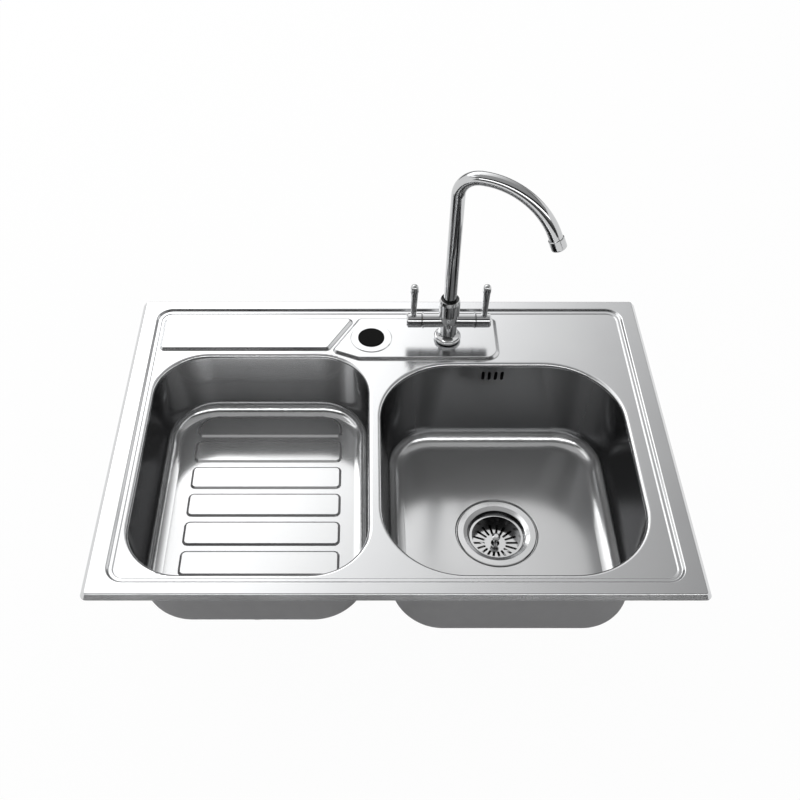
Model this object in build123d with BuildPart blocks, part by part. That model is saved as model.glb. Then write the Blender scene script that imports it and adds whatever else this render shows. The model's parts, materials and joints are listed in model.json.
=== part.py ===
from build123d import *
import math
import os

# An inset kitchen sink with its tap. Millimetres, z up from the worktop, the user stands at -y.

# Pressed deck
sheet = 1.0
rim_height = 6.0
edge_run = 5.0
edge_corner = 8.0
edge_round = 2.0
side_land = 19.0
end_land = 15.5
step_depth = 3.0
step_run = 3.0
step_corner = 22.0
step_round = 2.0
band_width = 4.0
band_depth = 1.0
band_run = 1.0
band_round = 1.4
lip_radius = 5.0
lip_drop = 1.0
left_land = 2.0
right_land = 15.0
front_land = 1.5
divider_land = 7.0

# Raised pads behind the bowls, and the seat round the spare hole
pad_height = 4.0
pad_run = 4.0
pad_round = 2.0
pad_land = 2.0
pad_length = 87.0
back_land = 9.0
pad_corner = 8.0
pad_big_corner = 20.0
pad_right = 72.0
pad_back_left = 17.6
pad_front_left = 57.6
bevel_angle = 67.0
bevel_land = 2.0
shelf_land = 4.0
shelf_gap = 3.0
groove = 3.5
seat_radius = 29.5
seat_height = 1.0

# Bowls
main_width = 322.0
main_length = 343.5
main_corner = 98.0
main_depth = 157.0
main_bend = 22.0
main_foot_corner = 60.0
main_left_draft = 5.6
main_right_draft = 1.25
main_front_draft = 5.8
main_back_draft = 0.3
drainer_width = 290.0
drainer_reach = 17.5
drainer_corner = 70.0
drainer_depth = 112.0
drainer_bend = 18.0
drainer_foot_corner = 66.0
drainer_left_draft = 4.5
drainer_right_draft = 0.8
drainer_front_draft = 0.2
drainer_back_draft = 0.2

# Raised panels of the draining floor
panel_count = 6
panel_width = 208.5
panel_length = 39.5
panel_pitch = 47.4
panel_corner = 8.0
panel_end_corner = 26.0
panel_height = 2.0
panel_run = 3.2
panel_margin = 5.1

# Tap holes and the blanking plug
tap_hole_radius = 17.5
hole_pitch = 107.4
hole_setback = 42.0
spare_shift = 3.9
plug_lip = 1.1
plug_thickness = 1.6
plug_clearance = 0.15
plug_depth = 9.0
plug_wall = 2.0

# Seal and clips under the rim
seal_width = 8.0
seal_inset = 1.5
rail_gap = 0.5
rail_length = 50.0
rail_flange = 4.0
rail_sheet = 1.5
rail_drop = 21.0
clip_width = 16.0
clip_sheet = 2.0
clip_reach = 12.0
clip_drop = 50.0
clip_top = 4.0
clip_pin_radius = 2.5
clip_pin_head = 4.0
clip_pin_z = -10.0
clip_screw_radius = 3.0
clip_screw_set = 6.0
clip_pad_radius = 5.0
clip_pad_height = 2.0
clip_head_radius = 7.0
clip_head_height = 4.0
clip_screw_tail = 16.0
worktop = 38.0
side_clip_y = 110.0
back_clip_x = 200.0

# Basket waste of the main bowl
waste_hole = 45.0
flange_radius = 55.0
flange_land = 9.0
flange_dip = 1.5
flange_sheet = 1.2
flange_gasket = 1.0
flange_gasket_width = 7.5
flange_gap = 1.0
dish_depth = 2.5
dish_run = 1.5
mouth_radius = 39.5
cup_radius = 36.5
cone_depth = 12.0
cup_depth = 34.0
cup_hole = 6.5
cup_hole_circle = 22.0
cup_hole_count = 6
body_gasket = 2.0
body_bore = 46.5
body_wall = 3.5
body_flange = 56.0
body_flange_height = 4.0
boss_height = 9.0
body_floor = 3.0
outlet_radius = 23.9
outlet_bore = 20.0
outlet_length = 36.0
boss_radius = 6.5
rib_count = 3
rib_width = 3.0
rib_gap = 3.0
clamp_radius = 3.0
clamp_head = 6.0
clamp_head_height = 3.5
thread_gap = 0.05

# Strainer basket
basket_sheet = 1.0
basket_rim = 37.2
basket_radius = 35.0
basket_depth = 16.0
basket_seat_gap = 0.4
slot_count = 18
slot_inner = 14.5
slot_outer = 32.0
slot_width = 3.4
knob_stem = 3.0
knob_radius = 6.0
knob_height = 17.0
knob_head = 5.0
basket_seal_gap = 0.4
basket_seal_height = 4.0
basket_seal_drop = 14.0

# Overflow
overflow_shift = 3.5
overflow_drop = 8.5
overflow_slots = 4
overflow_slot_width = 4.5
overflow_slot_height = 16.5
overflow_slot_pitch = 8.8
overflow_margin = 3.6
overflow_gasket_thickness = 2.0
overflow_width = 56.0
overflow_box = 27.0
overflow_wall = 2.4
overflow_ear = 14.0
stud_radius = 2.0
stud_gap = 0.2
stud_length = 12.0
nut_flats = 7.0
nut_height = 3.2
pipe_bore = 9.05
pipe_wall = 2.0
pipe_bend = 30.0
spigot_wall = 2.0
spigot_length = 16.0
pipe_clear = 4.0
stub_length = 20.0
stub_drop = 18.0

# Small outlet of the draining bowl
drain_hole = 16.0
drain_flange = 20.0
drain_flange_sheet = 1.2
drain_gasket = 1.0
drain_dish = 2.0
drain_neck = 14.5
drain_neck_depth = 10.0
drain_slot_circle = 9.0
drain_slot_radius = 3.0
drain_slot_count = 6
drain_screw = 2.5
drain_screw_head = 4.5
drain_screw_head_height = 2.0
drain_body_bore = 15.6
drain_body_wall = 3.0
drain_body_flange = 21.5
drain_body_height = 26.0
drain_outlet_radius = 9.0
drain_outlet_bore = 7.0
drain_outlet_rise = 11.5
drain_outlet_length = 22.0
drain_collar_radius = 11.0
drain_collar_length = 6.0
drain_margin = 4.2

# Tap: stack through the deck
skirt_gasket = 1.5
skirt_radius = 19.0
skirt_base = 16.4
skirt_edge = 3.0
skirt_height = 12.0
skirt_top_radius = 13.2
tap_foot_radius = 14.6
tap_foot_height = 3.0
neck_radius = 12.5
shank_radius = 14.0
shank_length = 66.0
inlet_radius = 4.5
inlet_depth = 15.0
inlet_pitch = 13.0
passage_radius = 1.9
passage_offset = 8.6
tap_washer_radius = 24.0
rubber_washer = 3.0
steel_washer = 2.0
locknut_flats = 36.0
locknut_height = 10.0

# Tap: bridge, valves and levers
bridge_rise = 34.0
bridge_radius = 10.1
bridge_bore = 7.0
bridge_half = 35.0
socket_radius = 14.5
socket_flare = 14.0
socket_rise = 39.5
socket_bevel = 5.0
socket_lip = 0.6
socket_bore = 12.5
socket_depth = 13.5
socket_floor = 8.5
mixing_radius = 3.0
cartridge_start = 2.5
cartridge_lip = 0.7
cartridge_bore = 5.2
collar_radius = 11.3
collar_width = 1.6
disc_thickness = 1.8
disc_gap = 0.03
disc_port = 1.6
disc_port_offset = 2.6
spindle_radius = 3.5
spindle_clearance = 0.05
spindle_drive = 4.0
spindle_drive_width = 1.3
spindle_reach = 52.0
hub_gap = 0.3
hub_length = 21.5
hub_radius = 10.25
hub_round = 2.0
lever_offset = 12.2
lever_boss = 4.5
lever_boss_height = 1.0
lever_stud = 2.0
lever_stud_depth = 4.0
lever_foot = 3.7
lever_tip = 5.2
lever_shaft = 41.4
lever_ring = 5.8
lever_ring_height = 3.0
lever_dome = 5.4
lever_cap = 3.0
grub_radius = 1.5
grub_recess = 1.2

# Tap: spout and aerator
spout_radius = 9.0
spout_wall = 1.2
spout_clearance = 0.06
spout_end_gap = 0.5
column_top = 250.0
spout_bend = 33.0
spout_bend_turn = 81.0
spout_sweep = 94.0
spout_sweep_turn = 74.0
spout_tail = 12.0
spout_heading = 25.0
bush_height = 6.3
bush_recess = 3.0
clip_ring = 11.8
clip_ring_height = 1.2
clip_ring_depth = 0.6
clip_ring_gap = 0.05
o_ring_radius = 0.93
o_ring_groove = 2.2
o_ring_depth = 1.94
o_ring_spacing = 3.5
o_ring_first = 3.0
bush_screw = 2.0
bush_screw_inset = 3.4
aerator_wall = 1.3
aerator_lap = 6.5
aerator_drop = 8.0
aerator_lip = 1.5
aerator_round = 0.6
aerator_nose = 2.2
aerator_washer_height = 1.5
aerator_holes = 8
aerator_hole = 1.0
aerator_hole_circle = 5.0

# Layout worked out from the sizes above
step_span = step_run + band_width + band_run
flat_length = (
    2 * (side_land + step_span) + left_land + right_land + 4 * lip_radius + divider_land + drainer_width + main_width
)
flat_width = (
    2 * (end_land + step_span + lip_radius) + front_land + main_length + pad_land + pad_length + back_land
)
deck_z = rim_height - step_depth - band_depth
throat_z = deck_z - lip_radius - lip_drop
step_x = flat_length / 2 - side_land
step_y = flat_width / 2 - end_land
band_x = step_x - step_run - band_width
band_y = step_y - step_run - band_width
foot_x = step_x - step_span
foot_y = step_y - step_span
bowl_front = -foot_y + front_land + lip_radius
drainer_left = -foot_x + left_land + lip_radius
drainer_right = drainer_left + drainer_width
drainer_length = main_length + drainer_reach
drainer_x = drainer_left + drainer_width / 2
drainer_y = bowl_front + drainer_length / 2
drainer_back = bowl_front + drainer_length
divider_x = drainer_right + lip_radius + divider_land / 2
main_left = drainer_right + 2 * lip_radius + divider_land
main_x = main_left + main_width / 2
main_y = bowl_front + main_length / 2
main_back = bowl_front + main_length
main_floor = deck_z - main_depth
drainer_floor = deck_z - drainer_depth
pad_front = main_back + lip_radius + pad_land
pad_back = foot_y - back_land
pad_z = deck_z + pad_height
shelf_front = drainer_back + lip_radius + shelf_land
spare_x = divider_x - spare_shift
tap_x = spare_x + hole_pitch
hole_y = pad_front + hole_setback
edge_angle = math.degrees(math.atan(edge_run / rim_height))
step_angle = math.degrees(math.atan(step_run / step_depth))
band_angle = math.degrees(math.atan(band_run / band_depth))
pad_angle = math.degrees(math.atan(pad_run / pad_height))
panel_angle = math.degrees(math.atan(panel_run / panel_height))
dish_angle = math.degrees(math.atan(dish_run / dish_depth))

os.makedirs("parts", exist_ok=True)


def save(piece, name):
    piece.part.label = name
    export_step(piece.part, f"parts/{name}.step")


def side_shift(run, rise, depth):
    # how far a sloping wall moves sideways on the sheet's other side, with the form lowered by depth
    return depth * (math.hypot(run, rise) - run) / rise


def upright_section(x, y):
    # local x is the radius, local y is the height
    return Plane(origin=(x, y, 0), x_dir=(1, 0, 0), z_dir=(0, -1, 0))


def turned(section, axis, points):
    # a solid of revolution from a closed outline
    with BuildPart() as piece:
        with BuildSketch(section):
            with BuildLine():
                Polyline(*points, close=True)
            make_face()
        revolve(axis=axis)
    return piece.part


def ring(x, y, low, high, inner, outer):
    # a plain upright ring
    with BuildPart() as piece:
        with BuildSketch(Plane(origin=(x, y, low))):
            Circle(outer)
            Circle(inner, mode=Mode.SUBTRACT)
        extrude(amount=high - low)
    return piece.part


# The two pads: the left one is a shelf, the right one carries the tap and the spare hole
bevel_x = drainer_right - drainer_corner
bevel_y = drainer_back - drainer_corner
bevel_reach = drainer_corner + lip_radius + bevel_land
bevel_cos = math.cos(math.radians(bevel_angle))
bevel_sin = math.sin(math.radians(bevel_angle))
pad_nose_x = bevel_x + (bevel_reach - (pad_front - bevel_y) * bevel_sin) / bevel_cos
pad_left_x = spare_x - pad_front_left
pad_left_y = bevel_y + (bevel_reach - (pad_left_x - bevel_x) * bevel_cos) / bevel_sin
pad_top_x = spare_x - pad_back_left
tap_pad_points = [
    (pad_nose_x, pad_front),
    (tap_x + pad_right, pad_front),
    (tap_x + pad_right, pad_back),
    (pad_top_x, pad_back),
    (pad_left_x, pad_left_y),
]
tap_pad_corners = [pad_corner, pad_big_corner, pad_corner, pad_corner, pad_corner]
diagonal = (pad_top_x - pad_left_x) / (pad_back - pad_left_y)
shelf_front_x = pad_left_x + (shelf_front - pad_left_y) * diagonal - groove
shelf_points = [
    (-foot_x + shelf_gap, shelf_front),
    (shelf_front_x, shelf_front),
    (pad_top_x - groove, pad_back),
    (-foot_x + shelf_gap, pad_back),
]


def pressed_form(depth):
    # the deck as a solid block: its top is the sheet's top at depth 0, and the sheet's underside at its thickness
    edge_shift = side_shift(edge_run, rim_height, depth)
    step_shift = side_shift(step_run, step_depth, depth)
    band_shift = side_shift(band_run, band_depth, depth)
    band_corner = step_corner - step_run - band_width
    pad_shift = side_shift(pad_run, pad_height, depth)
    top_z = rim_height - depth
    band_z = top_z - step_depth
    plate_z = deck_z - depth
    with BuildPart() as form:
        with BuildSketch(Plane.XY.offset(-depth)):
            RectangleRounded(
                flat_length + 2 * (edge_run - edge_shift),
                flat_width + 2 * (edge_run - edge_shift),
                edge_corner - edge_shift,
            )
        extrude(amount=rim_height, taper=edge_angle)
        fillet(form.edges().group_by(Axis.Z)[-1], edge_round - depth / 2)
        with BuildSketch(Plane(origin=(0, 0, top_z), z_dir=(0, 0, -1))):
            RectangleRounded(2 * (step_x + step_shift), 2 * (step_y + step_shift), step_corner + step_shift)
        extrude(amount=step_depth, taper=step_angle, mode=Mode.SUBTRACT)
        fillet(form.edges(Select.LAST).group_by(Axis.Z)[0], step_round + depth)
        step_top = form.faces().sort_by(Axis.Z)[-1].inner_wires()[0].edges()
        fillet(step_top, step_round - depth)
        with BuildSketch(Plane(origin=(0, 0, band_z), z_dir=(0, 0, -1))):
            RectangleRounded(2 * (band_x + band_shift), 2 * (band_y + band_shift), band_corner + band_shift)
        extrude(amount=band_depth, taper=band_angle, mode=Mode.SUBTRACT)
        fillet(form.edges(Select.LAST).group_by(Axis.Z)[0], band_round + depth)
        band_face = form.faces().filter_by(Axis.Z).sort_by(Axis.Z)[-2]
        fillet(band_face.inner_wires()[0].edges(), band_round - depth)
        with BuildSketch(Plane.XY.offset(throat_z - depth)):
            Rectangle(2 * (foot_x + depth), 2 * (foot_y + depth))
        extrude(amount=-throat_z)
        with BuildSketch(Plane.XY.offset(throat_z - depth)):
            with Locations((drainer_x, drainer_y)):
                RectangleRounded(drainer_width + 2 * depth, drainer_length + 2 * depth, drainer_corner + depth)
            with Locations((main_x, main_y)):
                RectangleRounded(main_width + 2 * depth, main_length + 2 * depth, main_corner + depth)
        extrude(amount=rim_height - throat_z, mode=Mode.SUBTRACT)
        fillet(form.edges(Select.LAST).group_by(Axis.Z)[-1], lip_radius - depth)
        with BuildSketch(Plane.XY.offset(plate_z)):
            with BuildLine():
                FilletPolyline(*tap_pad_points, radius=tap_pad_corners, close=True)
            make_face()
            with BuildLine():
                FilletPolyline(*shelf_points, radius=pad_corner, close=True)
            make_face()
            if pad_shift > 0:
                offset(amount=-pad_shift)
        extrude(amount=pad_height, taper=pad_angle)
        fillet(form.edges(Select.LAST).group_by(Axis.Z)[0], pad_round + depth)
        pad_tops = form.edges().filter_by_position(Axis.Z, plate_z + pad_height, plate_z + pad_height)
        fillet(pad_tops, pad_round - depth)
        with BuildSketch(Plane(origin=(spare_x, hole_y, plate_z + pad_height))):
            Circle(seat_radius - side_shift(seat_height, seat_height, depth))
        extrude(amount=seat_height, taper=pad_angle)
    return form.part


with BuildPart() as deck_panel:
    add(pressed_form(0))
    add(pressed_form(sheet), mode=Mode.SUBTRACT)
    with BuildSketch(Plane.XY):
        with Locations((spare_x, hole_y), (tap_x, hole_y)):
            Circle(tap_hole_radius)
    extrude(amount=rim_height + seat_height, mode=Mode.SUBTRACT)
save(deck_panel, "deck_panel")


def wall_run(draft, drop):
    # how far a wall leans in over its height
    return drop * math.tan(math.radians(draft))


def bowl_form(x, y, width, length, corner, drop, drafts, foot_corner, bend, grow):
    # a bowl's inside, or its outside when grown by the sheet; drafts are the left, right, front and back walls'
    left, right, front, back = (wall_run(draft, drop + grow) for draft in drafts)
    with BuildPart() as form:
        with BuildSketch(Plane(origin=(x, y, throat_z))):
            RectangleRounded(width + 2 * grow, length + 2 * grow, corner + grow)
        with BuildSketch(Plane(origin=(x + (left - right) / 2, y + (front - back) / 2, throat_z - drop - grow))):
            RectangleRounded(width - left - right + 2 * grow, length - front - back + 2 * grow, foot_corner + grow)
        loft(ruled=True)
        fillet(form.faces().sort_by(Axis.Z)[0].edges(), bend + grow)
    return form.part


# Main bowl, with a dish for the waste and slots for the overflow
dish_radius = flange_radius + flange_gap
dish_floor = main_floor - dish_depth
overflow_x = main_x - overflow_shift
overflow_z = throat_z - overflow_drop - overflow_slot_height / 2
wall_lean = math.radians(main_back_draft)
wall_y = main_back + sheet - (throat_z - overflow_z) * math.tan(wall_lean)
overflow_plane = Plane(
    origin=(overflow_x, wall_y, overflow_z),
    x_dir=(1, 0, 0),
    z_dir=(0, math.cos(wall_lean), -math.sin(wall_lean)),
)


def main_form(grow):
    with BuildPart() as form:
        add(
            bowl_form(
                main_x,
                main_y,
                main_width,
                main_length,
                main_corner,
                throat_z - main_floor,
                (main_left_draft, main_right_draft, main_front_draft, main_back_draft),
                main_foot_corner,
                main_bend,
                grow,
            )
        )
        with BuildSketch(Plane(origin=(main_x, main_y, main_floor - grow), z_dir=(0, 0, -1))):
            Circle(dish_radius + dish_run + side_shift(dish_run, dish_depth, grow))
        extrude(amount=dish_depth, taper=dish_angle)
    return form.part


with BuildPart() as main_bowl:
    add(main_form(sheet))
    add(main_form(0), mode=Mode.SUBTRACT)
    with BuildSketch(Plane(origin=(main_x, main_y, dish_floor - 2 * sheet))):
        Circle(waste_hole)
    extrude(amount=3 * sheet, mode=Mode.SUBTRACT)
    with BuildSketch(overflow_plane):
        with GridLocations(overflow_slot_pitch, 0, overflow_slots, 1):
            SlotOverall(overflow_slot_height, overflow_slot_width, rotation=90)
    extrude(amount=3 * sheet, both=True, mode=Mode.SUBTRACT)
save(main_bowl, "main_bowl")

# Draining bowl, with raised panels and a small outlet at its front
drainer_drop = throat_z - drainer_floor
drain_x = drainer_x + (wall_run(drainer_left_draft, drainer_drop) - wall_run(drainer_right_draft, drainer_drop)) / 2
drain_y = bowl_front + wall_run(drainer_front_draft, drainer_drop) + drainer_bend + drain_flange + drain_margin
drain_dish_radius = drain_flange + flange_gap
panel_first = drain_y + drain_dish_radius + dish_run + panel_margin + panel_length / 2


def drainer_form(grow):
    panel_shift = side_shift(panel_run, panel_height, grow)
    end_corner = min(panel_end_corner, panel_length - panel_corner - 2 * panel_run)
    with BuildPart() as form:
        add(
            bowl_form(
                drainer_x,
                drainer_y,
                drainer_width,
                drainer_length,
                drainer_corner,
                drainer_drop,
                (drainer_left_draft, drainer_right_draft, drainer_front_draft, drainer_back_draft),
                drainer_foot_corner,
                drainer_bend,
                grow,
            )
        )
        for row in range(panel_count):
            with BuildSketch(Plane(origin=(drain_x, panel_first + row * panel_pitch, drainer_floor - grow))) as panel:
                Rectangle(panel_width - 2 * panel_shift, panel_length - 2 * panel_shift)
                corners = panel.vertices().sort_by(Axis.Y)
                back_corner = end_corner if row == panel_count - 1 else panel_corner
                fillet(corners[:2], panel_corner)
                fillet(panel.vertices().sort_by(Axis.Y)[-2:], back_corner)
            extrude(amount=panel_height, taper=panel_angle, mode=Mode.SUBTRACT)
        with BuildSketch(Plane(origin=(drain_x, drain_y, drainer_floor - grow), z_dir=(0, 0, -1))):
            Circle(drain_dish_radius + dish_run + side_shift(dish_run, drain_dish, grow))
        extrude(amount=drain_dish, taper=math.degrees(math.atan(dish_run / drain_dish)))
    return form.part


with BuildPart() as drainer_bowl:
    add(drainer_form(sheet))
    add(drainer_form(0), mode=Mode.SUBTRACT)
    with BuildSketch(Plane(origin=(drain_x, drain_y, drainer_floor - drain_dish - 2 * sheet))):
        Circle(drain_hole)
    extrude(amount=3 * sheet, mode=Mode.SUBTRACT)
save(drainer_bowl, "drainer_bowl")

# Foam seal between the rim and the worktop
seal_length = flat_length - 2 * seal_inset
seal_depth = flat_width - 2 * seal_inset
with BuildPart() as rim_seal:
    with BuildSketch():
        RectangleRounded(seal_length, seal_depth, seal_width)
        Rectangle(seal_length - 2 * seal_width, seal_depth - 2 * seal_width, mode=Mode.SUBTRACT)
    extrude(amount=rim_height - sheet)
save(rim_seal, "rim_seal")

# Clips on the two sides and the back: local y points out from the sink, and starts at the rail's outer face
clip_x = seal_length / 2 - seal_width - rail_gap
clip_y = seal_depth / 2 - seal_width - rail_gap
clip_planes = [
    Plane(origin=(clip_x, -side_clip_y, 0), x_dir=(0, -1, 0), z_dir=(0, 0, 1)),
    Plane(origin=(clip_x, side_clip_y, 0), x_dir=(0, -1, 0), z_dir=(0, 0, 1)),
    Plane(origin=(-clip_x, -side_clip_y, 0), x_dir=(0, 1, 0), z_dir=(0, 0, 1)),
    Plane(origin=(-clip_x, side_clip_y, 0), x_dir=(0, 1, 0), z_dir=(0, 0, 1)),
    Plane(origin=(-back_clip_x, clip_y, 0), x_dir=(1, 0, 0), z_dir=(0, 0, 1)),
    Plane(origin=(back_clip_x, clip_y, 0), x_dir=(1, 0, 0), z_dir=(0, 0, 1)),
]
rim_under = rim_height - sheet
clip_arm_z = -clip_drop
screw_top = -worktop
pin_hole = clip_pin_radius + thread_gap

with BuildPart(*clip_planes) as clip_rails:
    with Locations((0, -rail_flange / 2, rim_under - rail_sheet / 2)):
        Box(rail_length, rail_flange, rail_sheet)
    with Locations((0, -rail_sheet / 2, rim_under - rail_drop / 2)):
        Box(rail_length, rail_sheet, rail_drop)
    with Locations((0, -rail_sheet / 2, clip_pin_z)):
        Cylinder(pin_hole, 2 * rail_sheet, rotation=(90, 0, 0), mode=Mode.SUBTRACT)
save(clip_rails, "clip_rails")

strap_y = -rail_sheet - clip_sheet
with BuildPart(*clip_planes) as fixing_clips:
    with Locations((0, strap_y + clip_sheet / 2, (clip_arm_z - clip_top) / 2)):
        Box(clip_width, clip_sheet, -clip_arm_z - clip_top)
    with Locations((0, (strap_y + clip_reach) / 2, clip_arm_z + clip_sheet / 2)):
        Box(clip_width, clip_reach - strap_y, clip_sheet)
    with Locations((0, strap_y + clip_sheet / 2, clip_pin_z)):
        Cylinder(pin_hole, 2 * clip_sheet, rotation=(90, 0, 0), mode=Mode.SUBTRACT)
    with Locations((0, clip_screw_set, clip_arm_z + clip_sheet / 2)):
        Cylinder(clip_screw_radius + thread_gap, 2 * clip_sheet, mode=Mode.SUBTRACT)
save(fixing_clips, "fixing_clips")

pin_length = rail_sheet + clip_sheet
with BuildPart(*clip_planes) as clip_pins:
    with Locations((0, -pin_length / 2, clip_pin_z)):
        Cylinder(clip_pin_radius, pin_length, rotation=(90, 0, 0))
    with Locations((0, strap_y - clip_sheet / 2, clip_pin_z)):
        Cylinder(clip_pin_head, clip_sheet, rotation=(90, 0, 0))
save(clip_pins, "clip_pins")

screw_low = clip_arm_z - clip_screw_tail
with BuildPart(*clip_planes) as clip_screws:
    with Locations((0, clip_screw_set, (screw_top + screw_low) / 2)):
        Cylinder(clip_screw_radius, screw_top - screw_low)
    with Locations((0, clip_screw_set, screw_top - clip_pad_height / 2)):
        Cylinder(clip_pad_radius, clip_pad_height)
    with Locations((0, clip_screw_set, screw_low - clip_head_height / 2)):
        Cylinder(clip_head_radius, clip_head_height)
save(clip_screws, "clip_screws")

# Rubber plug in the spare hole
seat_z = pad_z + seat_height
stem_radius = tap_hole_radius - plug_clearance
spare_axis = Axis((spare_x, hole_y, 0), (0, 0, 1))
with BuildPart() as hole_plug:
    add(
        turned(
            upright_section(spare_x, hole_y),
            spare_axis,
            [
                (0, seat_z),
                (stem_radius - plug_wall, seat_z),
                (stem_radius - plug_wall, seat_z - plug_depth),
                (stem_radius, seat_z - plug_depth),
                (stem_radius, seat_z),
                (tap_hole_radius + plug_lip, seat_z),
                (tap_hole_radius + plug_lip, seat_z + plug_thickness / 2),
                (tap_hole_radius - plug_lip, seat_z + plug_thickness),
                (0, seat_z + plug_thickness),
            ],
        )
    )
save(hole_plug, "hole_plug")

# Basket waste: the flanged cup is drawn against the floor by a screw into the body below
waste_section = upright_section(main_x, main_y)
waste_axis = Axis((main_x, main_y, 0), (0, 0, 1))
waste_top = dish_floor + flange_gasket + flange_sheet
mouth_top = waste_top - flange_dip
cup_floor = waste_top - cup_depth
cup_under = cup_floor - flange_sheet
clamp_hole = clamp_radius + thread_gap
with BuildPart() as waste_flange:
    add(
        turned(
            waste_section,
            waste_axis,
            [
                (flange_radius, waste_top - flange_sheet),
                (flange_radius, waste_top - flange_sheet / 2),
                (flange_radius - flange_sheet, waste_top),
                (flange_radius - flange_land, waste_top),
                (mouth_radius + flange_sheet, mouth_top),
                (mouth_radius, mouth_top - flange_sheet / 2),
                (cup_radius, waste_top - cone_depth),
                (cup_radius, cup_floor),
                (clamp_hole, cup_floor),
                (clamp_hole, cup_under),
                (cup_radius + flange_sheet, cup_under),
                (cup_radius + flange_sheet, waste_top - cone_depth),
                (mouth_radius + flange_sheet, mouth_top - flange_sheet),
                (flange_radius - flange_land, waste_top - flange_sheet),
            ],
        )
    )
    with BuildSketch(Plane(origin=(main_x, main_y, cup_under))):
        with PolarLocations(cup_hole_circle, cup_hole_count):
            Circle(cup_hole)
    extrude(amount=flange_sheet, mode=Mode.SUBTRACT)
save(waste_flange, "waste_flange")

gasket_inner = flange_radius - flange_sheet - flange_gasket_width
with BuildPart() as waste_flange_gasket:
    add(ring(main_x, main_y, dish_floor, dish_floor + flange_gasket, gasket_inner, flange_radius - flange_sheet))
save(waste_flange_gasket, "waste_flange_gasket")

dish_under = dish_floor - sheet
body_top = dish_under - body_gasket
with BuildPart() as waste_body_gasket:
    add(ring(main_x, main_y, body_top, dish_under, body_bore, body_flange))
save(waste_body_gasket, "waste_body_gasket")

body_bottom = cup_under - boss_height - body_floor
body_outer = body_bore + body_wall
stub_z = body_top - stub_drop
spigot_radius = pipe_bore - thread_gap
spigot_bore = spigot_radius - spigot_wall
stub_end = main_y + body_outer + stub_length
with BuildPart() as waste_body:
    add(
        turned(
            waste_section,
            waste_axis,
            [
                (body_bore, body_top),
                (body_flange, body_top),
                (body_flange, body_top - body_flange_height),
                (body_outer, body_top - body_flange_height),
                (body_outer, body_bottom),
                (outlet_radius, body_bottom),
                (outlet_radius, body_bottom - outlet_length),
                (outlet_bore, body_bottom - outlet_length),
                (outlet_bore, body_bottom + body_floor),
                (body_bore, body_bottom + body_floor),
            ],
        )
    )
    with BuildSketch(Plane(origin=(overflow_x, main_y, stub_z), x_dir=(1, 0, 0), z_dir=(0, 1, 0))):
        Circle(spigot_radius)
    extrude(amount=stub_end - main_y)
    with BuildSketch(Plane(origin=(main_x, main_y, body_bottom + body_floor))):
        Circle(body_bore)
    extrude(amount=body_top - body_bottom - body_floor, mode=Mode.SUBTRACT)
    with BuildSketch(Plane(origin=(overflow_x, main_y, stub_z), x_dir=(1, 0, 0), z_dir=(0, 1, 0))):
        Circle(spigot_bore)
    extrude(amount=stub_end - main_y, mode=Mode.SUBTRACT)
    with BuildSketch(Plane(origin=(main_x, main_y, body_bottom + body_floor))):
        with PolarLocations(body_bore / 2, rib_count):
            Rectangle(body_bore, rib_width)
        Circle(boss_radius)
    extrude(amount=boss_height - rib_gap)
    with BuildSketch(Plane(origin=(main_x, main_y, body_bottom + body_floor))):
        Circle(boss_radius)
    extrude(amount=boss_height)
    with BuildSketch(Plane(origin=(main_x, main_y, body_bottom + body_floor))):
        Circle(clamp_hole)
    extrude(amount=boss_height, mode=Mode.SUBTRACT)
save(waste_body, "waste_body")

with BuildPart() as waste_clamp_screw:
    add(
        turned(
            waste_section,
            waste_axis,
            [
                (0, body_bottom + body_floor),
                (clamp_radius, body_bottom + body_floor),
                (clamp_radius, cup_floor),
                (clamp_head, cup_floor),
                (clamp_head, cup_floor + clamp_head_height / 2),
                (clamp_head / 2, cup_floor + clamp_head_height),
                (0, cup_floor + clamp_head_height),
            ],
        )
    )
save(waste_clamp_screw, "waste_clamp_screw")

# Strainer basket, hung by its rim on the cup's cone
cone_slope = (cone_depth - flange_dip - flange_sheet / 2) / (mouth_radius - cup_radius)
rim_under_z = waste_top - cone_depth + (basket_rim - cup_radius) * cone_slope + basket_seat_gap
rim_top_z = rim_under_z + basket_sheet
basket_floor = rim_top_z - basket_depth
with BuildPart() as basket_cup:
    add(
        turned(
            waste_section,
            waste_axis,
            [
                (0, basket_floor - basket_sheet),
                (basket_radius, basket_floor - basket_sheet),
                (basket_radius, rim_under_z),
                (basket_rim, rim_under_z),
                (basket_rim, rim_top_z),
                (basket_radius - basket_sheet, rim_top_z),
                (basket_radius - basket_sheet, basket_floor),
                (0, basket_floor),
            ],
        )
    )
    with BuildSketch(Plane(origin=(main_x, main_y, basket_floor - basket_sheet))):
        with PolarLocations((slot_inner + slot_outer) / 2, slot_count):
            SlotOverall(slot_outer - slot_inner, slot_width)
    extrude(amount=basket_sheet, mode=Mode.SUBTRACT)
save(basket_cup, "basket_cup")

knob_top = basket_floor + knob_height
with BuildPart() as basket_knob:
    add(
        turned(
            waste_section,
            waste_axis,
            [
                (0, basket_floor),
                (knob_radius, basket_floor),
                (knob_stem, basket_floor + knob_stem),
                (knob_stem, knob_top - knob_head),
                (knob_radius, knob_top - knob_head + knob_stem / 2),
                (knob_radius, knob_top - knob_stem / 2),
                (knob_stem, knob_top),
                (0, knob_top),
            ],
        )
    )
save(basket_knob, "basket_knob")

seal_top = waste_top - basket_seal_drop
with BuildPart() as basket_seal:
    add(
        ring(
            main_x,
            main_y,
            seal_top - basket_seal_height,
            seal_top,
            basket_radius + thread_gap,
            cup_radius - basket_seal_gap,
        )
    )
save(basket_seal, "basket_seal")

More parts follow.
